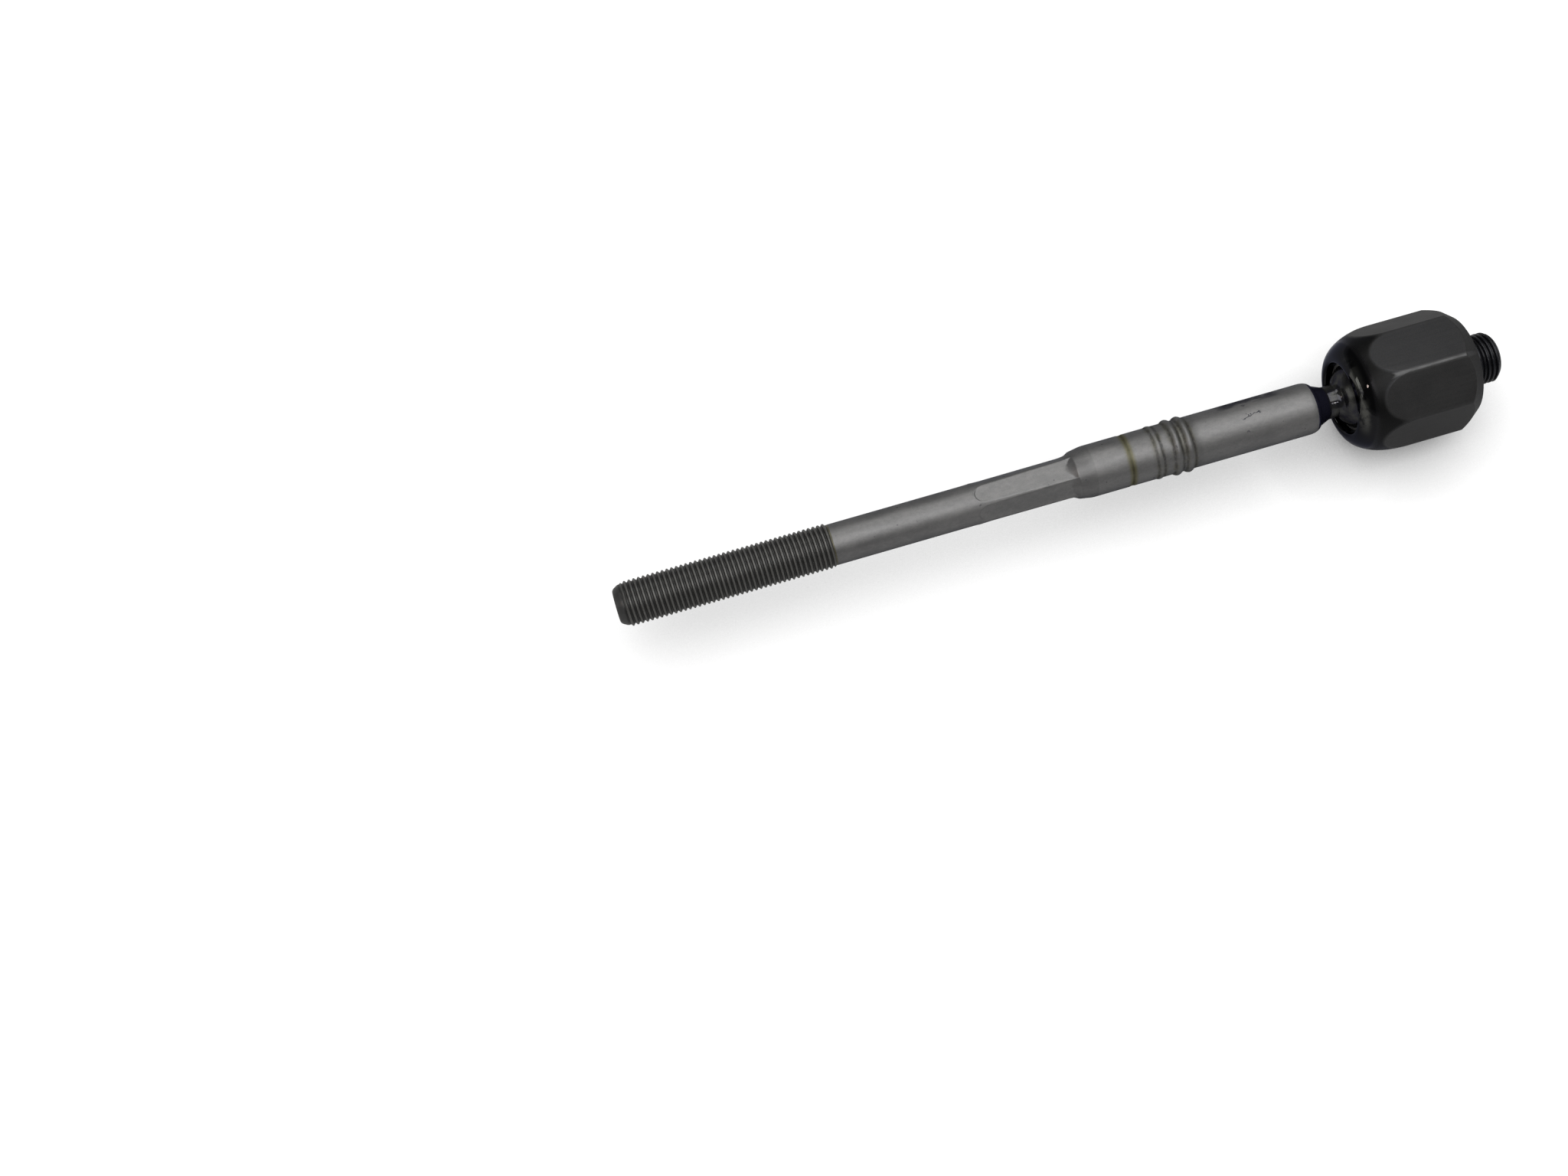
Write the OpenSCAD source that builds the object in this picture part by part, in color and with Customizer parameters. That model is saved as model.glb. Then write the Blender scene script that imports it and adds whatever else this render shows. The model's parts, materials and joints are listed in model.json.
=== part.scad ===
// Inner tie rod: an axial ball joint that screws onto the end of a steering rack.
// +X leaves the housing through the threaded stud, -X runs along the rod to its threaded tip.
// The origin is the centre of the housing's back face, where the stud starts. Millimetres.

/* [Housing] */
// Width across the eight flats of the housing
housing_af = 37; // [34:0.2:42]
// Diameter that the bar's corners are turned down to
corner_dia = 39.8; // [38.2:0.1:39.9]
// Distance from the back face to the ball's centre
ball_back = 29.3; // [26:0.1:36]
// Depth of the rolled rim in front of the seat
rim_depth = 2.35; // [1.6:0.05:3]
// Length of the rounded nose
nose_len = 16; // [8:0.5:20]
// Diameter of the rim's foremost circle
crest_dia = 24.4; // [24:0.2:27]
// Radius of the round on the rim's front edge
rim_round = 0.8; // [0.4:0.1:1]
// Diameter of the flat back face inside the bevel
back_face_dia = 31.6; // [24:0.2:34]
// Length of the bevel round the back face
back_bevel_len = 5.4; // [3:0.1:9]

/* [Stud] */
// Major diameter of the stud that screws into the rack
stud_dia = 16; // [12:0.5:20]
// Length of the stud
stud_len = 11; // [8:0.5:25]
// Chamfer on the stud's end
stud_chamfer = 1.5; // [0.5:0.1:2]

/* [Ball seat] */
// Outside diameter of the plastic seat
seat_dia = 28.6; // [27.6:0.1:31]
// Opening in the seat's front edge
seat_mouth_dia = 20; // [18:0.1:20.6]
// Wall of the seat at its front edge
seat_lip_wall = 0.8; // [0.5:0.1:1]
// Wall of the seat's floor behind the ball
seat_floor = 1.2; // [0.8:0.1:3]
// Diameter of the grease hole in the seat's floor
grease_hole_dia = 8; // [5:0.5:12]
// Radial play between the seat and the housing
seat_play = 0.05; // [0.02:0.01:0.1]
// Radial play between the ball and the seat
ball_play = 0.03; // [0.01:0.01:0.08]

/* [Ball and neck] */
// Diameter of the ball
ball_dia = 25; // [23:0.1:26]
// Diameter of the neck
neck_dia = 10.4; // [9:0.1:12]
// Radius of the fillet between ball and neck
neck_fillet = 2; // [1:0.1:2.4]
// Distance from the ball's centre to the end of the straight neck
neck_to = 15.4; // [15:0.1:17]
// Diameter at the wide end of the cone behind the neck
cone_dia = 13.6; // [12.5:0.1:15]
// Length of the cone behind the neck
cone_len = 3.7; // [2:0.1:6]
// Length of the rounded shoulder between the cone and the shank
shoulder_len = 3.3; // [1:0.1:6]

/* [Shank] */
// Diameter of the thick shank
shank_dia = 16.35; // [15.6:0.05:17]
// Length of the thick shank
shank_len = 71.2; // [66:0.1:90]
// Length of the taper from the shank down to the wrench hexagon
taper_len = 7.2; // [4:0.1:10]
// Diameter over the two ridges that hold the boot
ridge_dia = 17.8; // [17.2:0.1:18.6]
// Length of each ridge
ridge_w = 2.8; // [2:0.1:3.4]
// Distance from the ball's centre to the ridge nearer the ball
ridge_at = 62.2; // [50:0.1:64]
// Distance between the two ridges
ridge_pitch = 3.8; // [3.5:0.1:5]
// Distance from the outer ridge to the bead on the boot seat's far side
bead_gap = 5.8; // [5:0.1:8]
// Diameter over the bead
bead_dia = 16.9; // [16.6:0.1:17.4]
// Length of the bead
bead_w = 2; // [1:0.1:3]
// Distance from the bead to the shallow marking groove
mark_gap = 9.1; // [4:0.1:12]
// Width of the shallow marking groove
mark_w = 1.8; // [1:0.1:3]
// Depth of the shallow marking groove
mark_depth = 0.15; // [0.1:0.05:0.4]

/* [Wrench hexagon] */
// Width across the wrench flats
hex_af = 12.2; // [11.6:0.1:12.5]
// Diameter over the corners beside the shank
hex_root_dia = 13.9; // [13.6:0.1:14.4]
// Diameter over the corners beside the rod
hex_end_dia = 13.4; // [13.1:0.1:13.8]
// Length of the hexagon, from the taper to the end of its corners
hex_len = 26.8; // [18:0.1:34]
// Length over which the corners run out into the plain rod
hex_runout = 3.6; // [2:0.1:6]
// Width of the cutter that makes a flat, and so of the flat's round end
flat_cutter = 6.9; // [6.6:0.1:7.2]
// Turn of the hexagon from the housing's flats, in degrees
hex_turn = 8; // [0:1:30]
// Radial rise per millimetre of the ramp that ends each flat
ramp_rise = 0.5; // [0.3:0.05:1]

/* [Rod] */
// Diameter of the plain rod
rod_dia = 12.9; // [12.5:0.05:13.4]
// Length of the plain rod between the hexagon and the thread
rod_len = 44.6; // [30:0.1:90]
// Major diameter of the rod's thread
thread_dia = 14; // [13.5:0.1:16]
// Length of the rod's thread
thread_len = 68.5; // [40:0.5:80]
// Diameter of the flat on the rod's tip
tip_face_dia = 10.4; // [8:0.1:12]
// Length of the chamfer on the rod's tip
tip_chamfer = 2.6; // [1:0.1:4]

/* [Hidden] */

arc_fn = 96;
nose_steps = 24;
corner_r = corner_dia / 2;
crest_r = crest_dia / 2;
ball_r = ball_dia / 2;
socket_r = ball_r + ball_play;
seat_r = seat_dia / 2;
bore_r = seat_r + seat_play;
seat_mouth_r = seat_mouth_dia / 2;
seat_lip_r = seat_mouth_r + seat_lip_wall;
rim_lip_r = seat_lip_r + seat_play;
seat_front = sqrt(socket_r * socket_r - seat_mouth_r * seat_mouth_r);
seat_back = socket_r + seat_floor;
// The seat's outside turns from cylinder to cone this far in front of the ball's centre
seat_shoulder = 2;
rim_front = seat_front + rim_depth;
housing_len = ball_back + rim_front;
neck_r = neck_dia / 2;
cone_end = neck_to + cone_len;
shank_from = cone_end + shoulder_len;
shank_to = shank_from + shank_len;
shank_r = shank_dia / 2;
outer_ridge_at = ridge_at + ridge_pitch;
bead_at = outer_ridge_at + bead_gap;
mark_at = bead_at + mark_gap;
hex_from = shank_to + taper_len;
hex_to = hex_from + hex_len;
rod_from = hex_to + hex_runout;
thread_from = rod_from + rod_len;
rod_tip = thread_from + thread_len;
thread_start = 0.8;

// Points of an arc of radius r about [cx, cy], from angle a to angle b
function arc_points(cx, cy, r, a, b, n) = [
  for (i = [0 : n]) [cx + r * cos(a + (b - a) * i / n), cy + r * sin(a + (b - a) * i / n)]
];

// A rounded bump of width w that stands h out of radius r, centred on at
function bump_points(at, w, r, h, n) = [
  for (i = [0 : n]) [r + h * sin(180 * i / n), at - w / 2 + w * i / n]
];

// The nose's quarter ellipse, from the corners' radius to the rim's foremost circle
function nose_points(n) = [
  for (i = [0 : n])
    [crest_r + (corner_r - crest_r) * cos(90 * i / n), housing_len - nose_len + nose_len * sin(90 * i / n)]
];

// The rounded shoulder between the neck's cone and the shank
function shoulder_points(n) = [
  for (i = [1 : n]) [
    cone_dia / 2 + (shank_r - cone_dia / 2) * sin(90 * i / n),
    shank_from - shoulder_len * cos(90 * i / n)
  ]
];

// The neck's fillet, tangent to the ball and to the neck
function fillet_points(n) =
  let (
    cr = neck_r + neck_fillet,
    reach = ball_r + neck_fillet,
    cu = sqrt(reach * reach - cr * cr)
  ) arc_points(cr, cu, neck_fillet, 180 + atan(cu / cr), 180, n);

// Turns a lathe profile drawn as [radius, distance towards the tip] onto the X axis
module turned() {
  rotate([0, -90, 0]) rotate_extrude($fn = arc_fn) children();
}

module from_ball() {
  translate([-ball_back, 0, 0]) children();
}

module housing_profile() {
  polygon(concat(
    [[0, 0], [back_face_dia / 2, 0], [corner_r, back_bevel_len]],
    nose_points(nose_steps),
    [[0, housing_len]]
  ));
}

module octagon_bar() {
  rotate([0, -90, 0]) rotate([0, 0, 22.5])
    cylinder(h = housing_len, r = housing_af / 2 / cos(22.5), $fn = 8);
}

// The seat's pocket and the rolled rim's inside, measured from the ball's centre
module pocket_profile() {
  polygon(concat(
    [[0, -seat_back - seat_play], [bore_r, -seat_back - seat_play], [bore_r, seat_shoulder]],
    [[rim_lip_r, seat_front]],
    arc_points(crest_r, rim_front - rim_round, rim_round, 170, 90, 6),
    [[crest_r, rim_front + 2], [0, rim_front + 2]]
  ));
}

module stud() {
  rotate([0, 90, 0]) cylinder(h = stud_len - stud_chamfer, d = stud_dia, $fn = arc_fn);
  translate([stud_len - stud_chamfer, 0, 0]) rotate([0, 90, 0])
    cylinder(h = stud_chamfer, d1 = stud_dia, d2 = stud_dia - 2 * stud_chamfer, $fn = arc_fn);
}

module joint_housing() {
  color([0.16, 0.16, 0.165]) {
    difference() {
      intersection() {
        turned() housing_profile();
        octagon_bar();
      }
      from_ball() turned() pocket_profile();
    }
    stud();
  }
}

module seat_profile() {
  polygon([
    [0, -seat_back],
    [seat_r - 0.8, -seat_back],
    [seat_r, -seat_back + 0.8],
    [seat_r, seat_shoulder - seat_play],
    [seat_lip_r, seat_front - seat_play],
    [0, seat_front - seat_play]
  ]);
}

module ball_seat() {
  color([0.2, 0.2, 0.19])
    from_ball() difference() {
      turned() seat_profile();
      sphere(r = socket_r, $fn = arc_fn);
      translate([ball_r / 2, 0, 0]) rotate([0, 90, 0])
        cylinder(h = ball_r + seat_floor, d = grease_hole_dia, $fn = arc_fn);
    }
}

// Everything turned on the rod except the ball, as [radius, distance from the ball's centre]
module rod_profile() {
  polygon(concat(
    [[0, ball_r / 2], [neck_r, ball_r / 2]],
    fillet_points(8),
    [[neck_r, neck_to], [cone_dia / 2, cone_end]],
    shoulder_points(6),
    bump_points(ridge_at, ridge_w, shank_r, ridge_dia / 2 - shank_r, 10),
    bump_points(outer_ridge_at, ridge_w, shank_r, ridge_dia / 2 - shank_r, 10),
    bump_points(bead_at, bead_w, shank_r, bead_dia / 2 - shank_r, 6),
    bump_points(mark_at, mark_w, shank_r, -mark_depth, 4),
    [
      [shank_r, shank_to],
      [hex_root_dia / 2, hex_from],
      [hex_end_dia / 2, hex_to],
      [rod_dia / 2, rod_from],
      [rod_dia / 2, thread_from - thread_start],
      [thread_dia / 2, thread_from],
      [thread_dia / 2, rod_tip - tip_chamfer],
      [tip_face_dia / 2, rod_tip],
      [0, rod_tip]
    ]
  ));
}

// What one flat's cutter sweeps: a slot with a round end towards the tip
module flat_slot() {
  slot_end = hex_to - 1;
  translate([0, 0, hex_af / 2]) linear_extrude(height = shank_r) {
    translate([-slot_end, 0]) circle(d = flat_cutter, $fn = arc_fn);
    translate([-slot_end, -flat_cutter / 2]) square([slot_end - shank_to, flat_cutter]);
  }
}

// The cone that the flats run out on, beside the shank
module flat_ramp() {
  ramp_from = hex_from - 1;
  ramp_len = shank_r / ramp_rise;
  turned() polygon([
    [0, ramp_from],
    [hex_af / 2, ramp_from],
    [hex_af / 2 + ramp_rise * ramp_len, ramp_from - ramp_len],
    [0, ramp_from - ramp_len]
  ]);
}

module tie_rod() {
  color([0.62, 0.62, 0.63])
    from_ball() {
      sphere(r = ball_r, $fn = arc_fn);
      difference() {
        turned() rod_profile();
        difference() {
          for (k = [0 : 5]) rotate([60 * k + hex_turn, 0, 0]) flat_slot();
          flat_ramp();
        }
      }
    }
}

joint_housing();
ball_seat();
tie_rod();
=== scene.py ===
import json
import math

import bpy
import numpy as np
from mathutils import Matrix, Vector


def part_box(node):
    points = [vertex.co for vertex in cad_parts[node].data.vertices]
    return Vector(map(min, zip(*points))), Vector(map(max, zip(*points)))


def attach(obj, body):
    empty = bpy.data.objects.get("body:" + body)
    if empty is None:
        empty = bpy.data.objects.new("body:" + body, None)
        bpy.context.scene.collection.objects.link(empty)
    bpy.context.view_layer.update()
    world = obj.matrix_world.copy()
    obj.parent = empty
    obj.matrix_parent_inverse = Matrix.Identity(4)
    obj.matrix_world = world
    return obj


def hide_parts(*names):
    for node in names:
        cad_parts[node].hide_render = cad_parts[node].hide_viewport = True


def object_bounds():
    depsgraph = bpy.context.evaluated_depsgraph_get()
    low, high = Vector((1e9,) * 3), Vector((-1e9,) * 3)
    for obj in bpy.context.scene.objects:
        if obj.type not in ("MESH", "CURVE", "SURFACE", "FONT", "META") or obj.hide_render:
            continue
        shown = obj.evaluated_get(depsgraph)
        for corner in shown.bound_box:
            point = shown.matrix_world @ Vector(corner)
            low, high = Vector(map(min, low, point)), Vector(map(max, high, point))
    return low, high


# Inner tie rod: an octagonal ball-joint housing with a threaded stud, and a rod with wrench flats.
# The stud points to +X, the rod runs along -X and +Z is up. Dictionaries hold millimetres, and
# "out" is the distance from the ball's centre towards the rod's tip.

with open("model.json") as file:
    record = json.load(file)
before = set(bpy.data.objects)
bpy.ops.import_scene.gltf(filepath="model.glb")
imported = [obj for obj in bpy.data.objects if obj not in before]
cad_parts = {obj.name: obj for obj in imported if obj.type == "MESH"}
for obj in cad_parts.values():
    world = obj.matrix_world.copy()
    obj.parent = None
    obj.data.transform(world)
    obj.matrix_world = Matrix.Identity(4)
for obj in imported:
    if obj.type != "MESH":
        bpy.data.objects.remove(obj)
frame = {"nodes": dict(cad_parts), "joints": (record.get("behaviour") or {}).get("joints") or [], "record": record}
cadLow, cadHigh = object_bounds()
print("frame loaded")

mm = 0.001
mountOf = {mount["name"]: mount for mount in frame["record"]["mounts"]}
jointOf = {joint["name"]: joint for joint in frame["joints"]}
ballX = jointOf["rod_tilt"]["pos_m"][0] / mm
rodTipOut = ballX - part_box("tie_rod")[0].x / mm
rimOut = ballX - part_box("joint_housing")[0].x / mm
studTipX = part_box("joint_housing")[1].x / mm
acrossFlats = 2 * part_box("joint_housing")[1].z / mm
studRadius = mountOf["rack_stud"]["dims"]["r_mm"]
tipThreadRadius = mountOf["outer_thread"]["dims"]["r_mm"]
threadPitch = 1.5
threadDepth = 0.43 * threadPitch  # rolled, with round roots that read shallower than the nominal depth


# Node trees

class Wire:
    # An output socket. Sums and products of wires add Math nodes, and node() adds any other kind.
    def __init__(self, tree, socket=None):
        self.tree = tree
        self.socket = socket

    def node(self, kind, settings=None, sockets=None, out=0):
        made = self.tree.nodes.new(kind)
        for key, value in (settings or {}).items():
            setattr(made, key, value)
        for key, value in (sockets or {}).items():
            if isinstance(value, Wire):
                self.tree.links.new(value.socket, made.inputs[key])
            else:
                made.inputs[key].default_value = value
        return Wire(self.tree, made.outputs[out] if len(made.outputs) else None)

    def also(self, out):
        return Wire(self.tree, self.socket.node.outputs[out])

    def maths(self, operation, *others):
        return self.node("ShaderNodeMath", {"operation": operation}, dict(enumerate((self, *others))))

    def __add__(self, other):
        return self.maths("ADD", other)

    def __sub__(self, other):
        return self.maths("SUBTRACT", other)

    def __rsub__(self, other):
        return self * -1 + other

    def __mul__(self, other):
        return self.maths("MULTIPLY", other)

    def __truediv__(self, other):
        return self.maths("DIVIDE", other)

    __radd__ = __add__
    __rmul__ = __mul__

    def least(self, other):
        return self.maths("MINIMUM", other)

    def most(self, other):
        return self.maths("MAXIMUM", other)

    def root(self):
        return self.maths("SQRT")

    def size(self):
        return self.maths("ABSOLUTE")

    def fade(self, low, high):
        # 0 below low, 1 above high, smooth between them
        return self.node("ShaderNodeMapRange", {"interpolation_type": "SMOOTHSTEP"},
                         {"Value": self, "From Min": low, "From Max": high})

    def window(self, low, high, soft):
        return self.fade(low - soft, low) * (1 - self.fade(high, high + soft))


def grey(value, warm=0.0):
    return (value * (1 + warm), value, value * (1 - warm))


def tint(base, low, high, mask):
    # Mixes two colours, each a wire or a tuple, by a mask
    colours = [c if isinstance(c, Wire) else (*c, 1) for c in (low, high)]
    return base.node("ShaderNodeMix", {"data_type": "RGBA"}, {0: mask, 6: colours[0], 7: colours[1]}, out=2)


def noise(base, place, size, detail=3, rough=0.5, stretch=(1, 1, 1), shift=0.0):
    # Noise whose lumps are about "size" millimetres across
    moved = base.node("ShaderNodeMapping", None,
                      {"Vector": place, "Location": (shift, shift, shift), "Scale": stretch})
    return base.node("ShaderNodeTexNoise", None,
                     {"Vector": moved, "Scale": 1 / (size * mm), "Detail": detail, "Roughness": rough})


def bumped(base, height, distance, strength=1.0):
    return base.node("ShaderNodeBump", None,
                     {"Height": height, "Distance": distance * mm, "Strength": strength})


def material(name, build, constants):
    # constants are sockets that are the same all over; build(base, place) returns the others
    made = bpy.data.materials.new(name)
    made.use_nodes = True
    made.node_tree.nodes.clear()
    base = Wire(made.node_tree)
    place = base.node("ShaderNodeTexCoord", out="Object")
    shader = base.node("ShaderNodeBsdfPrincipled", None, {**constants, **build(base, place)})
    base.node("ShaderNodeOutputMaterial", None, {"Surface": shader})
    return made


def axes(base, place):
    # Distance out from the ball's centre, radius from the axis, and angle from +Y towards +Z in degrees
    x = base.node("ShaderNodeSeparateXYZ", None, {0: place}, out="X")
    y, z = x.also("Y") / mm, x.also("Z") / mm
    radius = (y * y + z * z).root()
    angle = z.maths("ARCTAN2", y) * math.degrees(1)
    return ballX - x / mm, radius, angle


# Finishes

satinTone = dict(
    bright=0.242, shade=0.186, grimeAndFootShade=0.03, dusty=0.09, taperShade=0.1, smudge=(0.028, 0.029, 0.04),
    oil=(0.145, 0.135, 0.06), oilWidth=1.8, footWidth=0.45,
    smudgeOut=(33, 47), smudgeAngle=(34, 60), scratchOut=(38.5, 43.5), scratchAngle=98, scratchLean=1.1,
    lipHighlightAngle=98, roughness=0.52,
)


def satinSteel(base, place):
    out, _, angle = axes(base, place)
    size, look = rodSize, satinTone
    grain = noise(base, place, 0.35, 2)
    cloud = noise(base, place, 9, 4, 0.6)
    streak = noise(base, place, 3, 3, 0.6, (0.3, 1, 1), 4.0)
    patch = noise(base, place, 3, 3, 0.6, (1, 1, 1), 2.0)
    speck = noise(base, place, 1.6, 4, 0.7, (1, 1, 1), 7.0)
    mottle = noise(base, place, 1.1, 5, 0.7, (0.6, 1, 1), 3.0)
    tone = 0.5 + (cloud - 0.5) * 0.8 + (streak - 0.5) * 0.7 + (mottle - 0.5) * 1.1 + (grain - 0.5) * 0.5
    colour = tint(base, grey(look["shade"]), grey(look["bright"], 0.01), tone.fade(0.1, 0.9))
    flat = base.node("ShaderNodeAttribute", {"attribute_name": "flat"}, out="Fac")
    lip = base.node("ShaderNodeAttribute", {"attribute_name": "lip"}, out="Fac")
    # painted highlight: the outer edge of each ramp is painted lighter on the side that faces the light
    lipHighlight = lip * (angle - look["lipHighlightAngle"]).size().fade(40, 10)
    colour = tint(base, colour, grey(look["bright"] * 1.6), lipHighlight * 0.5)

    # old oil in the mark and at the feet of the ridges: dark in the middle and olive round it. The dark at the
    # feet of the ridges is partly painted shade in the creases and partly dark specks of dirt
    offMark = (out - size["markAt"] + (cloud - 0.5) * 0.5).size()
    offFoot = (out - size["feet"][0]).size()
    for foot in size["feet"][1:]:
        offFoot = offFoot.least((out - foot).size())
    oil = (1 - offMark.fade(0.3, look["oilWidth"])) * (0.5 + patch * 0.6)
    oil = oil.most((1 - offFoot.fade(0.1, look["footWidth"] * 3)) * patch.fade(0.3, 0.7) * 0.45)
    colour = tint(base, colour, look["oil"], oil.least(1))
    grimeAndFootShade = (1 - offMark.fade(0.15, 0.55)) * (0.1 + patch * 0.7)
    # painted shade in the creases at the feet of the ridges, with dark specks of dirt
    grimeAndFootShade = grimeAndFootShade.most((1 - offFoot.fade(0.1, look["footWidth"] * 1.6)) * (0.15 + speck.fade(0.3, 0.7) * 0.6))
    colour = tint(base, colour, grey(look["grimeAndFootShade"], 0.05), grimeAndFootShade)
    dust = out.window(size["ridgeAt"] - 3, size["beadAt"] + 1, 2) * patch
    colour = tint(base, colour, grey(look["dusty"]), dust * 0.35)
    # painted shade: the taper down to the flats is painted darker where its slope turns it from the light
    shadedTaper = out.window(size["shankTo"] - 1.1, size["hexFrom"] - 1, 0.4) * (1 - flat)
    colour = tint(base, colour, grey(look["taperShade"]), shadedTaper * 0.22)

    # handling marks: a smudge high on the shank, a scratch beside it and a few dark dots
    dots = noise(base, place, 2.2, 2, 0.5, (1, 1, 1), 11.0).fade(0.71, 0.75)
    smudgeZone = out.window(*look["smudgeOut"], 5) * angle.window(*look["smudgeAngle"], 11)
    smudge = smudgeZone * noise(base, place, 4.5, 4, 0.65, (0.35, 1, 1), 9.0).fade(0.33, 0.5)
    wave = noise(base, place, 1.4, 2, 0.5, (1, 1, 1), 13.0)
    lean = (out - 40.7) * look["scratchLean"]
    scratchLine = (angle - look["scratchAngle"] - lean + (wave - 0.5) * 26).size()
    scratch = out.window(*look["scratchOut"], 1) * (1 - scratchLine.fade(0.8, 2.6)) * streak.fade(0.3, 0.5)
    dark = smudge.most(scratch).most(dots * 0.6).least(1)
    colour = tint(base, colour, look["smudge"], dark * 0.8)
    return {
        "Base Color": colour,
        "Roughness": look["roughness"] + (cloud - 0.5) * 0.14 + dark * 0.1 - flat * 0.03 - lip * 0.15,
        "Normal": bumped(base, grain * 0.5 + mottle * 0.5, 0.06, 0.4),
    }


threadTone = dict(root=(0.034, 0.034, 0.033), crest=(0.135, 0.134, 0.128), tip=0.07,
                  entry=(0.15, 0.14, 0.09), roughness=0.4)


def rolledThread(base, place):
    out, radius, _ = axes(base, place)
    crest = radius.fade(tipThreadRadius - 0.6, tipThreadRadius - 0.05)
    patch = noise(base, place, 7, 4, 0.6)
    grain = noise(base, place, 0.3, 2)
    colour = tint(base, threadTone["root"], threadTone["crest"], crest * (0.6 + patch * 0.6))
    tipCone = out.fade(rodTipOut - 2.5, rodTipOut - 2.1)
    colour = tint(base, colour, grey(threadTone["tip"]), tipCone * 0.9)
    entryRing = out.window(rodSize["threadFrom"] - 0.5, rodSize["threadFrom"] + 0.1, 0.3)
    colour = tint(base, colour, threadTone["entry"], entryRing * 0.7)
    return {
        "Base Color": colour,
        "Roughness": threadTone["roughness"] + (patch - 0.5) * 0.2,
        "Normal": bumped(base, grain, 0.02, 0.3),
    }


studTone = dict(root=(0.007, 0.007, 0.009), crest=(0.02, 0.021, 0.025), roughness=0.3)


def studFinish(base, place):
    _, radius, _ = axes(base, place)
    crest = radius.fade(studRadius - 0.5, studRadius - 0.02)
    patch = noise(base, place, 5, 4, 0.6)
    return {
        "Base Color": tint(base, studTone["root"], studTone["crest"], crest * (0.5 + patch * 0.8)),
        "Roughness": studTone["roughness"] + (patch - 0.5) * 0.15,
    }


mirrorTone = dict(clear=(0.036, 0.036, 0.044), greased=(0.075, 0.075, 0.068), shoulder=(0.04, 0.04, 0.07),
                  roughness=0.13)


def mirrorSteel(base, place):
    out, _, _ = axes(base, place)
    film = noise(base, place, 3.5, 4, 0.6, (1, 1, 1), 5.0)
    turned = noise(base, place, 0.16, 2, 0.5, (1, 0.02, 0.02))
    colour = tint(base, mirrorTone["clear"], mirrorTone["greased"], film.fade(0.35, 0.65))
    shoulder = out.fade(rodSize["neckTo"] - 0.2, rodSize["neckTo"] + 0.6)
    return {
        "Base Color": tint(base, colour, mirrorTone["shoulder"], shoulder),
        "Roughness": mirrorTone["roughness"] + film.fade(0.45, 0.75) * 0.14,
        "Normal": bumped(base, turned, 0.012),
    }


phosphateTone = dict(
    dark=(0.0155, 0.0154, 0.0147), light=(0.0249, 0.0246, 0.0233), turned=0.006, wearAndHighlight=0.09,
    burnished=(0.021, 0.021, 0.0225), reflectionLobe=(0.1, 0.1, 0.092), reflectionLobeAngle=122,
    highlightRidge=112.5, burnishedTo=(16.8, 18), roughness=0.5,
)


def phosphatedSteel(base, place):
    out, radius, angle = axes(base, place)
    look = phosphateTone
    grain = noise(base, place, 0.3, 3, 0.6)
    cloud = noise(base, place, 8, 4, 0.6)
    drawn = noise(base, place, 0.9, 3, 0.6, (0.04, 1, 1), 2.0)
    tone = 0.5 + (cloud - 0.5) * 0.6 + (drawn - 0.5) * 0.4 + (grain - 0.5) * 0.9
    colour = tint(base, look["dark"], look["light"], tone.fade(0.25, 0.75))
    bevel = base.node("ShaderNodeAttribute", {"attribute_name": "bevel"}, out="Fac")
    nose = base.node("ShaderNodeAttribute", {"attribute_name": "nose"}, out="Fac")
    # painted shade: the back bevel and the turned nose are painted darker than the flats
    colour = tint(base, colour, grey(look["turned"]), bevel * 0.6 + nose * 0.55)
    edge = base.node("ShaderNodeAttribute", {"attribute_name": "edge"}, out="Fac")
    rub = noise(base, place, 5, 4, 0.6, (0.4, 1, 1), 6.0).fade(0.2, 0.6)
    # painted highlight: the near ridge, which faces the light, is painted bright; every ridge also has some rubbed
    # wear, more on the far side
    nearRidgeHighlight = 1 - (angle - look["highlightRidge"]).size().fade(4, 12)
    farSide = 1 - angle.fade(-40, 0)
    wearAndHighlight = edge * (0.4 + rub * 0.6) * nearRidgeHighlight.most(farSide * 0.7).most(0.15)
    colour = tint(base, colour, grey(look["wearAndHighlight"]), wearAndHighlight)
    # the roller that closed the rim left the nose dark and glossy
    burnished = (1 - radius.fade(*look["burnishedTo"])) * out.fade(-7, -5)
    film = noise(base, place, 5, 4, 0.6, (1, 1, 1), 8.0)
    # painted reflection: lighter lobes on the glossy nose near the mouth, on the near side
    reflectionLobe = 1 - (angle - look["reflectionLobeAngle"]).size().fade(24, 60)
    reflectionLobe = reflectionLobe * (1 - radius.fade(15.2, 16.6)) * film.fade(0.4, 0.56)
    gloss = tint(base, look["burnished"], look["reflectionLobe"], reflectionLobe)
    colour = tint(base, colour, gloss, burnished)
    rough = look["roughness"] + (cloud - 0.5) * 0.14 - wearAndHighlight * 0.14 + bevel * 0.14 - nose * 0.08
    return {
        "Base Color": colour,
        "Metallic": burnished.most(wearAndHighlight * 0.8).most(nose * 0.75),
        "Roughness": rough - burnished * (0.46 - film * 0.12),
        "Normal": bumped(base, (grain * 0.7 + drawn * 0.3) * (1 - burnished * 0.9), 0.05, 0.4),
    }


seatTone = dict(dark=(0.03, 0.03, 0.028), light=(0.06, 0.06, 0.055), roughness=0.4)


def seatPlastic(base, place):
    cloud = noise(base, place, 3, 3, 0.5)
    return {
        "Base Color": tint(base, seatTone["dark"], seatTone["light"], cloud),
        "Roughness": seatTone["roughness"] + (cloud - 0.5) * 0.1,
    }


# Turned surfaces

def smoothStep(low, high, value):
    t = np.clip((value - low) / (high - low), 0, 1)
    return t * t * (3 - 2 * t)


def softMin(a, b, reach):
    overlap = np.maximum(reach - np.abs(a - b), 0) / reach
    return np.minimum(a, b) - overlap * overlap * reach / 4


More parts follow.
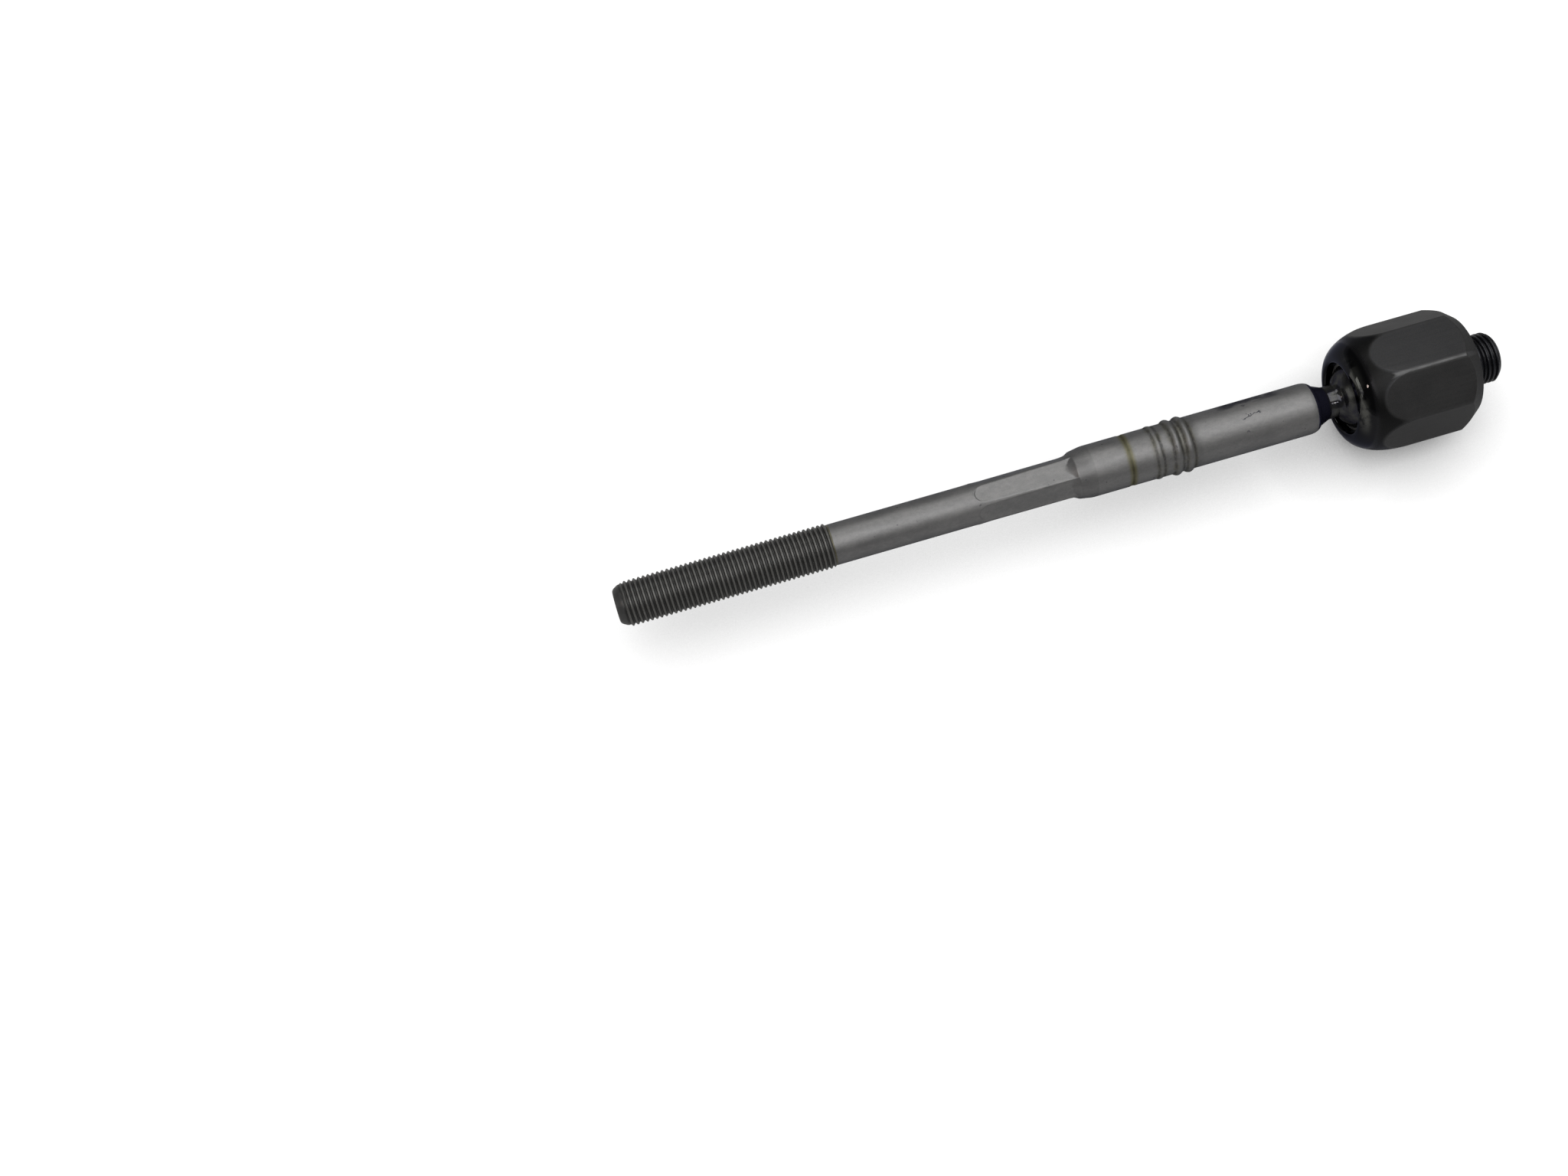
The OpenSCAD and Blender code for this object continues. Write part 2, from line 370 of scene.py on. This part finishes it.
def softMax(a, b, reach):
    return -softMin(-a, -b, reach)


def outlineRows(corners, angles):
    # corners: (out, radius, reach). Out and radius may change round the part, and reach rounds the corner
    points = [np.array([np.broadcast_to(o, angles.shape), np.broadcast_to(r, angles.shape)], float)
              for o, r, _ in corners]
    rows = []
    for k, (_, _, reach) in enumerate(corners):
        here = points[k]
        if not reach:
            rows.append(here)
            continue
        back, ahead = points[k - 1] - here, points[k + 1] - here
        start = here + back * np.minimum(reach / np.linalg.norm(back, axis=0), 0.45)
        end = here + ahead * np.minimum(reach / np.linalg.norm(ahead, axis=0), 0.45)
        for t in np.linspace(0, 1, 5):
            rows.append(start * (1 - t) ** 2 + here * 2 * t * (1 - t) + end * t ** 2)
    return np.array(rows)


def turnedSkin(name, rows, angles, slots, attributes):
    # One closed surface from rows of (out, radius); slots gives each row's material index
    out, radius = rows[:, 0], rows[:, 1]
    points = np.stack([ballX - out, radius * np.cos(angles), radius * np.sin(angles)], -1) * mm
    count, around = radius.shape
    poles = np.array([[(ballX - out[k].mean()) * mm, 0, 0] for k in (0, -1)])
    vertices = np.vstack([points.reshape(-1, 3), poles])
    step = np.arange(around)
    following = (step + 1) % around
    lower = (np.arange(count - 1) * around)[:, None]
    quads = np.stack([lower + step, lower + following, lower + around + following, lower + around + step], -1)
    first, last = len(vertices) - 2, len(vertices) - 1
    top = (count - 1) * around
    faces = quads.reshape(-1, 4).tolist()
    faces += [[first, following[k], k] for k in step]
    faces += [[last, top + k, top + following[k]] for k in step]
    mesh = bpy.data.meshes.new(name)
    mesh.from_pydata(vertices.tolist(), [], faces)
    rowSlots = np.repeat(np.asarray(slots)[:-1], around).tolist()
    rowSlots += [slots[0]] * around + [slots[-1]] * around
    mesh.polygons.foreach_set("material_index", rowSlots)
    mesh.polygons.foreach_set("use_smooth", [True] * len(faces))
    for key, values in attributes.items():
        layer = mesh.attributes.new(key, "FLOAT", "POINT")
        layer.data.foreach_set("value", np.append(values.ravel(), [0, 0]).astype(np.float32))
    mesh.update()
    return mesh


def shown(name, mesh, materials):
    piece = bpy.data.objects.new(name, mesh)
    bpy.context.scene.collection.objects.link(piece)
    for each in materials:
        mesh.materials.append(each)
    return piece


# Thread turns: a helical ridge swept along a helix, trimmed by a cone at each end

def threadTree():
    tree = bpy.data.node_groups.new("threadTurns", "GeometryNodeTree")
    sockets = [("Geometry", "Geometry"), ("Turns", "Float"), ("Pitch", "Float"), ("Start", "Float"),
               ("Crest Radius", "Float"), ("Depth", "Float"), ("Points Per Turn", "Int"),
               ("Entry", "Float"), ("Entry Radius", "Float"), ("Entry Slope", "Float"),
               ("Tip", "Float"), ("Tip Radius", "Float"), ("Tip Slope", "Float"),
               ("Turn To Axis", "Vector"), ("Shift", "Vector"), ("Material", "Material")]
    for label, kind in sockets:
        tree.interface.new_socket(label, in_out="INPUT", socket_type="NodeSocket" + kind)
    tree.interface.new_socket("Geometry", in_out="OUTPUT", socket_type="NodeSocketGeometry")
    base = Wire(tree)
    given = base.node("NodeGroupInput", out="Geometry")
    pitch, crest, depth = given.also("Pitch"), given.also("Crest Radius"), given.also("Depth")
    perTurn, root = given.also("Points Per Turn"), crest - depth

    helix = base.node("GeometryNodeCurvePrimitiveLine", None, {"End": (0, 0, 1)})
    helix = base.node("GeometryNodeResampleCurve", {"mode": "COUNT"},
                      {"Curve": helix, "Count": given.also("Turns") * perTurn + 1})
    turn = base.node("GeometryNodeInputIndex") / perTurn
    angle = turn * math.tau
    spot = base.node("ShaderNodeCombineXYZ", None, {
        "X": root * angle.maths("COSINE"), "Y": root * angle.maths("SINE"),
        "Z": given.also("Start") + turn * pitch})
    helix = base.node("GeometryNodeSetPosition", None, {"Geometry": helix, "Position": spot})
    helix = base.node("GeometryNodeSetCurveNormal", {"mode": "Z_UP"}, {"Curve": helix})

    ridge = base.node("GeometryNodeCurvePrimitiveQuadrilateral", {"mode": "TRAPEZOID"}, {
        "Bottom Width": pitch * 0.92, "Top Width": pitch * 0.26, "Offset": 0.0, "Height": depth * 1.12})
    lift = base.node("ShaderNodeCombineXYZ", None, {"Y": depth * 0.44})
    ridge = base.node("GeometryNodeTransform", None, {"Geometry": ridge, "Translation": lift})
    outward = (0, 0, math.radians(-90))
    ridge = base.node("GeometryNodeTransform", None, {"Geometry": ridge, "Rotation": outward})
    ridge = base.node("GeometryNodeFilletCurve", {"mode": "POLY"},
                      {"Curve": ridge, "Radius": pitch * 0.09, "Count": 2})
    swept = base.node("GeometryNodeCurveToMesh", None,
                      {"Curve": helix, "Profile Curve": ridge, "Fill Caps": True})

    x = base.node("ShaderNodeSeparateXYZ", None, {0: base.node("GeometryNodeInputPosition")}, out="X")
    y, z = x.also("Y"), x.also("Z")
    radius = (x * x + y * y).root()
    entry = given.also("Entry Radius") + (z - given.also("Entry")) * given.also("Entry Slope")
    tip = given.also("Tip Radius") + (given.also("Tip") - z) * given.also("Tip Slope")
    share = (crest.least(entry).least(tip) / radius).least(1.0)
    trimmed = base.node("ShaderNodeCombineXYZ", None, {
        "X": x * share, "Y": y * share, "Z": z.least(given.also("Tip") - 0.2 * mm)})
    swept = base.node("GeometryNodeSetPosition", None, {"Geometry": swept, "Position": trimmed})
    swept = base.node("GeometryNodeTransform", None, {
        "Geometry": swept, "Rotation": given.also("Turn To Axis"), "Translation": given.also("Shift")})
    swept = base.node("GeometryNodeSetShadeSmooth", None, {"Geometry": swept})
    swept = base.node("GeometryNodeStoreNamedAttribute", {"data_type": "FLOAT", "domain": "POINT"},
                      {"Geometry": swept, "Name": "turns", "Value": 1.0})
    joined = base.node("GeometryNodeJoinGeometry", None, {"Geometry": swept})
    tree.links.new(given.socket, joined.socket.node.inputs["Geometry"])
    whole = base.node("GeometryNodeRealizeInstances", None, {"Geometry": joined})
    isTurn = base.node("GeometryNodeInputNamedAttribute", {"data_type": "FLOAT"}, {"Name": "turns"})
    whole = base.node("GeometryNodeSetMaterial", None, {
        "Geometry": whole, "Selection": isTurn.maths("GREATER_THAN", 0.5),
        "Material": given.also("Material")})
    base.node("NodeGroupOutput", None, {"Geometry": whole})
    return tree


def cutThread(piece, tree, values):
    # Adds the turns to a piece's mesh and leaves it plain
    named = {item.name: item.identifier for item in tree.interface.items_tree if item.in_out == "INPUT"}
    modifier = piece.modifiers.new("threadTurns", "NODES")
    modifier.node_group = tree
    for label, value in values.items():
        modifier[named[label]] = value
    piece.update_tag()
    bpy.context.view_layer.update()
    evaluated = piece.evaluated_get(bpy.context.evaluated_depsgraph_get())
    plain = bpy.data.meshes.new_from_object(evaluated)
    piece.modifiers.remove(modifier)
    before = piece.data
    piece.data = plain
    bpy.data.meshes.remove(before)


# Tie rod: ball, neck, shank, wrench flats, plain rod and threaded tip

rodSize = dict(
    ballRadius=12.5, neckRadius=5.2, neckFillet=2.0, neckTo=15.4,
    coneRadius=6.8, coneTo=19.1, shoulderLength=3.3,
    shankRadius=8.175, shankLength=71.2,
    ridgeHeight=0.725, ridgeWidth=2.8, ridgeAt=62.2, ridgePitch=3.8,
    beadHeight=0.275, beadWidth=2.0, beadGap=5.8,
    markGap=9.1, markWidth=1.8, markDepth=0.15,
    taperLength=7.2, hexRootRadius=6.95, hexTipRadius=6.7, hexLength=26.8, hexRunout=3.6,
    flatDistance=6.1, slotHalf=3.45, slotEndHalf=2.9, slotEndLength=4.4, slotEndPast=2.45, hexTurn=8,
    rampPast=0.2, rampRise=0.18, rampRadius=7.0,
    rodRadius=6.45, threadLength=68.5, tipFaceRadius=5.2, tipConeLength=2.1, tipConeRadius=6.45,
    shankRows=(26, 34, 42, 50, 58), lastShankRow=87, rodRow=150,
    entryRadius=6.0, entrySlope=0.9, trimRadius=6.0, trimSlope=0.75,
    edgeSoftness=0.12, polishTo=20.4, segments=240, pointsPerTurn=48,
)
rodSize["shankFrom"] = rodSize["coneTo"] + rodSize["shoulderLength"]
rodSize["shankTo"] = rodSize["shankFrom"] + rodSize["shankLength"]
rodSize["hexFrom"] = rodSize["shankTo"] + rodSize["taperLength"]
rodSize["hexTo"] = rodSize["hexFrom"] + rodSize["hexLength"]
rodSize["rodFrom"] = rodSize["hexTo"] + rodSize["hexRunout"]
rodSize["threadFrom"] = rodTipOut - rodSize["threadLength"]
rodSize["beadAt"] = rodSize["ridgeAt"] + rodSize["ridgePitch"] + rodSize["beadGap"]
rodSize["markAt"] = rodSize["beadAt"] + rodSize["markGap"]
rodSize["feet"] = [rodSize["ridgeAt"] + rodSize["ridgePitch"] * k + side * rodSize["ridgeWidth"] / 2
                   for k in (0, 1) for side in (-1, 1)]
rodSize["feet"] += [rodSize["beadAt"] + side * rodSize["beadWidth"] / 2 for side in (-1, 1)]


def bump(at, width, radius, height, steps):
    return [(at + width * (t - 0.5), radius + height * math.sin(math.pi * t), 0)
            for t in np.linspace(0, 1, steps + 1)]


def ballAndNeck(size):
    # The ball from its back pole, the fillet tangent to it, the neck and its cone
    ball, fillet, neck = size["ballRadius"], size["neckFillet"], size["neckRadius"]
    centreOut = math.sqrt((ball + fillet) ** 2 - (neck + fillet) ** 2)
    touch = math.atan2(neck + fillet, centreOut)
    corners = [(ball * math.cos(a), ball * math.sin(a), 0) for a in np.linspace(math.pi - 0.04, touch, 40)]
    for a in np.linspace(math.pi + touch, 1.5 * math.pi, 9)[1:]:
        corners.append((centreOut + fillet * math.cos(a), neck + fillet + fillet * math.sin(a), 0))
    corners.append((size["neckTo"], neck, 0.5))
    corners.append((size["coneTo"], size["coneRadius"], 0.3))
    for a in np.radians(np.linspace(12, 90, 10)):
        corners.append((size["shankFrom"] - size["shoulderLength"] * math.cos(a),
                        size["coneRadius"] + (size["shankRadius"] - size["coneRadius"]) * math.sin(a), 0))
    return corners


def shank(size):
    radius = size["shankRadius"]
    corners = [(o, radius, 0) for o in size["shankRows"]]
    for k in range(2):
        ridgeAt = size["ridgeAt"] + k * size["ridgePitch"]
        corners += bump(ridgeAt, size["ridgeWidth"], radius, size["ridgeHeight"], 12)
    corners += bump(size["beadAt"], size["beadWidth"], radius, size["beadHeight"], 8)
    corners += bump(size["markAt"], size["markWidth"], radius, -size["markDepth"], 6)
    corners.append((size["lastShankRow"], radius, 0))
    return corners


def wrenchPart(size):
    # Rows from the shank's end to the plain rod, close together where the flats begin and end
    knots = [size["shankTo"], size["hexFrom"], size["hexTo"], size["rodFrom"]]
    radii = [size["shankRadius"], size["hexRootRadius"], size["hexTipRadius"], size["rodRadius"]]
    flatFrom, flatTo = size["hexFrom"] + 2.5, size["hexTo"] - 6
    outs = np.concatenate([
        np.linspace(size["shankTo"] - 1, flatFrom, 60, endpoint=False),
        np.linspace(flatFrom, flatTo, 8, endpoint=False),
        np.linspace(flatTo, size["rodFrom"] + 1, 60)])
    spread = np.linspace(-0.7, 0.7, 7)[:, None]
    return [(o, r, 0) for o, r in zip(outs, np.interp(outs + spread, knots, radii).mean(0))]


def millFlats(rows, angles, size):
    # Lowers the rows to the six flats, and returns masks of the flats and of their ramps' outer edges
    out, radius = rows[:, 0], rows[:, 1].copy()
    third = math.pi / 3
    local = (angles - math.radians(90 + size["hexTurn"]) + third / 2) % third - third / 2
    plane = size["flatDistance"] / np.cos(local)
    before = size["hexFrom"] + size["rampPast"] - out
    hollow = np.maximum(before, 0) ** 2 / (2 * size["rampRadius"])
    ramp = size["flatDistance"] + size["rampRise"] * before + hollow
    cut = softMax(plane[None, :], ramp, size["edgeSoftness"])
    beyond = (out - size["hexTo"] - size["slotEndPast"]) / size["slotEndLength"] + 1
    rounded = size["slotEndHalf"] * np.sqrt(np.clip(1 - beyond ** 2, 0, 1))
    half = np.where(beyond > 0, rounded, size["slotHalf"])
    aside = np.abs(size["flatDistance"] * np.tan(local))[None, :]
    inside = 1 - smoothStep(half - 0.14, half + 0.06, aside)
    inside *= out > size["shankTo"] - 1
    inside *= beyond < 1
    milled = softMin(radius, cut, size["edgeSoftness"])
    lowered = radius + (milled - radius) * inside
    depth = np.clip((radius - lowered) / 0.12, 0, 1)
    flat = depth * smoothStep(-0.3, 0.1, plane[None, :] - ramp)
    lip = np.exp(-((radius - cut) / 0.07) ** 2) * smoothStep(0.2, 0.6, ramp - plane[None, :])
    rows[:, 1] = lowered
    return flat, lip


def threadedTip(size):
    core = tipThreadRadius - threadDepth + 0.03
    start = size["threadFrom"]
    return [
        (size["rodRow"], size["rodRadius"], 0),
        (start - 0.5, size["rodRadius"], 0.3),
        (start + 0.4, core, 0.25),
        (rodTipOut - size["tipConeLength"] - 0.9, core, 0.2),
        (rodTipOut - size["tipConeLength"], size["tipConeRadius"], 0.9),
        (rodTipOut, size["tipFaceRadius"], 0.9),
        (rodTipOut, 1.0, 0),
    ]


def makeRod(tree, looks):
    size = rodSize
    angles = np.linspace(0, math.tau, size["segments"], endpoint=False)
    corners = ballAndNeck(size) + shank(size) + wrenchPart(size) + threadedTip(size)
    rows = outlineRows(corners, angles)
    out = rows[:, 0, 0]
    flat, lip = millFlats(rows, angles, size)
    slots = np.where(out < size["polishTo"] - 0.01, 1, np.where(out < size["threadFrom"] - 0.3, 0, 2))
    mesh = turnedSkin("tieRodSteel", rows, angles, slots.tolist(), {"flat": flat, "lip": lip})
    rod = shown("tieRod", mesh, [looks["satin"], looks["mirror"], looks["thread"]])
    turnsTo = rodTipOut - size["tipConeLength"]
    cutThread(rod, tree, {
        "Turns": (turnsTo - size["threadFrom"]) / threadPitch + 0.7, "Pitch": threadPitch * mm,
        "Start": (size["threadFrom"] - 0.6) * mm, "Points Per Turn": size["pointsPerTurn"],
        "Crest Radius": tipThreadRadius * mm, "Depth": threadDepth * mm,
        "Entry": (size["threadFrom"] - 0.3) * mm,
        "Entry Radius": size["entryRadius"] * mm, "Entry Slope": size["entrySlope"],
        "Tip": turnsTo * mm, "Tip Radius": size["trimRadius"] * mm, "Tip Slope": size["trimSlope"],
        "Turn To Axis": (0, math.radians(-90), 0), "Shift": (ballX * mm, 0, 0), "Material": looks["thread"],
    })
    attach(rod, "rod")
    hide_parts("tie_rod")
    print("tie rod made")


# Joint housing: octagonal bar, turned nose, rolled rim and threaded stud

housingSize = dict(
    cornerRadius=19.9, noseLength=16.0, crestRadius=12.2, rimRound=0.8,
    backFaceRadius=15.8, bevelLength=5.4, studChamfer=1.5, studPlain=4.2, studPlainRadius=7.8,
    lipRadius=10.85, lipOut=7.55, boreRadius=14.35, shoulderOut=2.0, pocketBack=13.78, bevelBefore=-15,
    entryRadius=7.0, entrySlope=1.2,
    ridgeSoftness=0.05, creaseReach=0.28, perFlat=30, noseRows=26,
)


def barRadius(angles, size):
    # Distance from the axis to the octagon with turned corners
    eighth = math.pi / 4
    local = (angles + eighth / 2) % eighth - eighth / 2
    return softMin(acrossFlats / 2 / np.cos(local), size["cornerRadius"], size["ridgeSoftness"]), local


def octagonAngles(size):
    # Even steps over each flat, and close ones across its ridge
    half = math.pi / 8
    corner = math.acos(acrossFlats / 2 / size["cornerRadius"])
    even = np.linspace(-corner * 0.97, corner * 0.97, size["perFlat"])
    near = np.array([corner * 0.985, corner, half - (half - corner) * 0.55])
    local = np.concatenate([-near[::-1], even, near, [half]])
    return np.concatenate([local + k * 2 * half for k in range(8)])


def housingCorners(angles, size):
    bar, _ = barRadius(angles, size)
    core = studRadius - threadDepth + 0.03
    rise = size["cornerRadius"] - size["backFaceRadius"]
    bevelX = size["bevelLength"] * (bar - size["backFaceRadius"]) / rise
    widest, crest = size["cornerRadius"], size["crestRadius"]
    noseFrom = rimOut - size["noseLength"]
    begin = np.arccos(np.clip((bar - crest) / (widest - crest), -1, 1))
    corners = [
        (ballX - studTipX, 1.0, 0),
        (ballX - studTipX, studRadius - size["studChamfer"], 0.3),
        (ballX - studTipX + size["studChamfer"] - threadDepth, core, 0.15),
        (ballX - size["studPlain"] - 0.6, core, 0.15),
        (ballX - size["studPlain"], size["studPlainRadius"], 0.2),
        (ballX, size["studPlainRadius"], 0.45),
        (ballX, size["backFaceRadius"], 0.3),
        (ballX + bevelX, bar, size["creaseReach"]),
        (0.5 * (ballX + bevelX) + 0.5 * noseFrom, bar, 0),
        (noseFrom + size["noseLength"] * np.sin(begin), bar, size["creaseReach"]),
    ]
    for t in np.linspace(0, 1, size["noseRows"] + 1)[1:]:
        turn = begin + (math.pi / 2 - begin) * t
        noseRadius = crest + (widest - crest) * np.cos(turn)
        corners.append((noseFrom + size["noseLength"] * np.sin(turn), noseRadius, 0))
    for a in np.radians(np.linspace(90, 170, 7))[1:]:
        rimRadius = crest + size["rimRound"] * math.cos(a)
        corners.append((rimOut - size["rimRound"] * (1 - math.sin(a)), rimRadius, 0))
    corners += [
        (size["lipOut"], size["lipRadius"], 0.12),
        (size["shoulderOut"], size["boreRadius"], 0.3),
        (-size["pocketBack"], size["boreRadius"], 0.5),
        (-size["pocketBack"], 1.0, 0),
    ]
    return corners


def ridgeBevelNoseMasks(rows, angles, size):
    # Masks of the ridges and of the flats' fainter front ends, which carry rubbed wear and the near ridge's
    # painted highlight, and of the bevel and of the nose, which are painted darker as shade
    bar, local = barRadius(angles, size)
    out, radius = rows[:, 0], rows[:, 1]
    corner = math.acos(acrossFlats / 2 / size["cornerRadius"])
    offRidge = (corner - np.abs(local)) * size["cornerRadius"]
    ridge = np.exp(-(np.maximum(offRidge, 0) / 0.35) ** 2)[None, :] * (np.abs(radius - bar) < 0.4)
    fall = size["cornerRadius"] - size["crestRadius"]
    begin = np.arccos(np.clip((bar - size["crestRadius"]) / fall, -1, 1))
    frontCrease = rimOut - size["noseLength"] * (1 - np.sin(begin))
    onOutside = np.abs(radius - bar) < 0.6
    crease = 0.4 * np.exp(-((out - frontCrease) / 0.3) ** 2)
    below = smoothStep(0.03, 0.4, bar - radius)
    return {
        "edge": np.clip(ridge + crease * onOutside, 0, 1),
        "bevel": below * (out < size["bevelBefore"]),
        "nose": below * (out > size["bevelBefore"]),
    }


def makeHousing(tree, looks):
    size = housingSize
    angles = octagonAngles(size)
    rows = outlineRows(housingCorners(angles, size), angles)
    housingMasks = ridgeBevelNoseMasks(rows, angles, size)
    meanOut = rows[:, 0].mean(1)
    slots = np.where(meanOut < ballX - 0.3, 1, 0)
    mesh = turnedSkin("housingSteel", rows, angles, slots.tolist(), housingMasks)
    housing = shown("jointHousing", mesh, [looks["phosphated"], looks["stud"]])
    cutThread(housing, tree, {
        "Turns": (studTipX - size["studPlain"]) / threadPitch + 0.6, "Pitch": threadPitch * mm,
        "Start": (size["studPlain"] - 0.3) * mm, "Points Per Turn": rodSize["pointsPerTurn"],
        "Crest Radius": studRadius * mm, "Depth": threadDepth * mm,
        "Entry": size["studPlain"] * mm,
        "Entry Radius": size["entryRadius"] * mm, "Entry Slope": size["entrySlope"],
        "Tip": studTipX * mm,
        "Tip Radius": (studRadius - size["studChamfer"] - 0.02) * mm, "Tip Slope": 1.0,
        "Turn To Axis": (0, math.radians(90), 0), "Shift": (0, 0, 0), "Material": looks["stud"],
    })
    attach(housing, "housing")
    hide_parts("joint_housing")
    print("joint housing made")


# Camera, floor and lights

# pixels of the photograph, millimetres and degrees
shot = dict(focalPixels=2378, frameWidth=2048, sensor=36, aim=(-223.1, -9.81, 0), distance=552.88,
            heading=82.776, lookDown=61.294, roll=9.743)


def makeCamera():
    heading, down, roll = (math.radians(shot[key]) for key in ("heading", "lookDown", "roll"))
    level, steep = math.cos(down), math.sin(down)
    forward = Vector((math.cos(heading) * level, math.sin(heading) * level, -steep))
    sideways = forward.cross(Vector((0, 0, 1))).normalized()
    upright = sideways.cross(forward)
    right = sideways * math.cos(roll) - upright * math.sin(roll)
    up = sideways * math.sin(roll) + upright * math.cos(roll)
    data = bpy.data.cameras.new("camera")
    data.sensor_width = shot["sensor"]
    data.lens = shot["focalPixels"] / shot["frameWidth"] * shot["sensor"]
    data.clip_start = 0.01
    camera = bpy.data.objects.new("camera", data)
    placed = Matrix((right, up, -forward)).transposed().to_4x4()
    placed.translation = (Vector(shot["aim"]) - forward * shot["distance"]) * mm
    camera.matrix_world = placed
    bpy.context.scene.collection.objects.link(camera)
    bpy.context.scene.camera = camera


# metres from here on; the shares say how much of the glow the camera and shiny metal see
stageLook = dict(
    floorColour=0.34, seenShare=0.86, mirroredShare=0.25, floorGlow=1.32,
    worldLevel=0.112, worldMirrored=0.194, halfFloor=4.0, shadeReach=0.028,
)
middle = Vector((-0.13, 0, 0))
lamps = [
    # name, direction from the object, distance, width, height, share of the plain light level, colour
    ("key", (0.12, -0.3, 1), 1.2, 1.8, 0.8, 0.8, (1, 1, 1)),
    ("rear", (0.2, 0.55, 1), 1.3, 1.2, 0.45, 0.25, (1, 1, 0.98)),
    ("end", (-1, 0.05, 0.22), 1.2, 0.6, 0.35, 0.05, (1, 1, 1)),
    ("glint", (-0.7, -0.22, 0.68), 1.2, 0.1, 0.1, 0.06, (1, 0.8, 0.68)),
    ("line", (0.415, -0.65, 0.636), 1.2, 0.05, 0.05, 0.03, (1, 0.97, 0.92)),
]


def makeLights():
    for name, direction, distance, width, height, share, colour in lamps:
        data = bpy.data.lights.new(name, "AREA")
        data.shape = "RECTANGLE"
        data.size, data.size_y = width, height
        data.energy = share * (math.pi * distance) ** 2
        data.color = colour
        lamp = bpy.data.objects.new(name, data)
        toLamp = Vector(direction).normalized()
        lamp.location = middle + toLamp * distance
        lamp.rotation_euler = toLamp.to_track_quat("Z", "Y").to_euler()
        bpy.context.scene.collection.objects.link(lamp)


def makeWorld():
    # A dim room that the camera sees as white paper, with a paler band at the horizon for shiny metal
    world = bpy.data.worlds.new("studio")
    world.use_nodes = True
    world.node_tree.nodes.clear()
    base = Wire(world.node_tree)
    rays = base.node("ShaderNodeLightPath", out="Is Camera Ray")
    towards = base.node("ShaderNodeTexCoord", out="Generated")
    height = base.node("ShaderNodeSeparateXYZ", None, {0: towards}, out="Z")
    mirrored = rays.also("Is Glossy Ray").most(rays.also("Is Transmission Ray"))
    mirrored = mirrored * (1 - height.fade(0.02, 0.2))
    seen = rays.most(mirrored * stageLook["worldMirrored"])
    dim = stageLook["worldLevel"]
    room = base.node("ShaderNodeBackground", None,
                     {"Color": (1, 1, 1, 1), "Strength": seen * (1 - dim) + dim})
    base.node("ShaderNodeOutputWorld", None, {"Surface": room})
    bpy.context.scene.world = world


def makeFloor():
    half, z = stageLook["halfFloor"], cadLow.z - 0.0001
    mesh = bpy.data.meshes.new("floor")
    corners = [(-half, -half, z), (half, -half, z), (half, half, z), (-half, half, z)]
    mesh.from_pydata(corners, [], [(0, 1, 2, 3)])
    floor = shown("floor", mesh, [])
    look = bpy.data.materials.new("paperFloor")
    look.use_nodes = True
    look.node_tree.nodes.clear()
    base = Wire(look.node_tree)
    paper = base.node("ShaderNodeBsdfDiffuse", None, {"Color": (*grey(stageLook["floorColour"]), 1)})
    # painted shadow: the glow is darkened near the object by ambient occlusion
    clear = base.node("ShaderNodeAmbientOcclusion", {"samples": 6},
                      {"Distance": stageLook["shadeReach"]}, out="AO")
    glow = base.node("ShaderNodeEmission", None, {"Strength": clear * stageLook["floorGlow"]})
    rays = base.node("ShaderNodeLightPath", out="Is Camera Ray")
    mirrored = rays.also("Is Glossy Ray").most(rays.also("Is Transmission Ray"))
    seen = (rays * stageLook["seenShare"]).most(mirrored * stageLook["mirroredShare"])
    mixed = base.node("ShaderNodeMixShader", None, {0: seen, 1: paper, 2: glow})
    base.node("ShaderNodeOutputMaterial", None, {"Surface": mixed})
    mesh.materials.append(look)


makeCamera()
makeLights()
makeWorld()
makeFloor()
bpy.context.scene.view_settings.view_transform = "Standard"
print("camera, lights and floor made")

finishes = {
    "satin": material("satinSteel", satinSteel,
                      {"Metallic": 0.84, "Specular Tint": (0.25, 0.27, 0.33, 1)}),
    "mirror": material("mirrorSteel", mirrorSteel,
                       {"Metallic": 0.8, "Specular Tint": (0.2, 0.2, 0.27, 1)}),
    "thread": material("rolledThread", rolledThread,
                       {"Metallic": 0.45, "Specular IOR Level": 0.3}),
    "phosphated": material("phosphatedSteel", phosphatedSteel,
                           {"Specular IOR Level": 0.42, "Specular Tint": (0.6, 0.61, 0.68, 1)}),
    "stud": material("studFinish", studFinish,
                     {"Metallic": 0.4, "Specular IOR Level": 0.35}),
    "seat": material("seatPlastic", seatPlastic, {}),
}
print("finishes made")

turnsTree = threadTree()
makeRod(turnsTree, finishes)
makeHousing(turnsTree, finishes)
seat = frame["nodes"]["ball_seat"]
seat.data.materials.clear()
seat.data.materials.append(finishes["seat"])
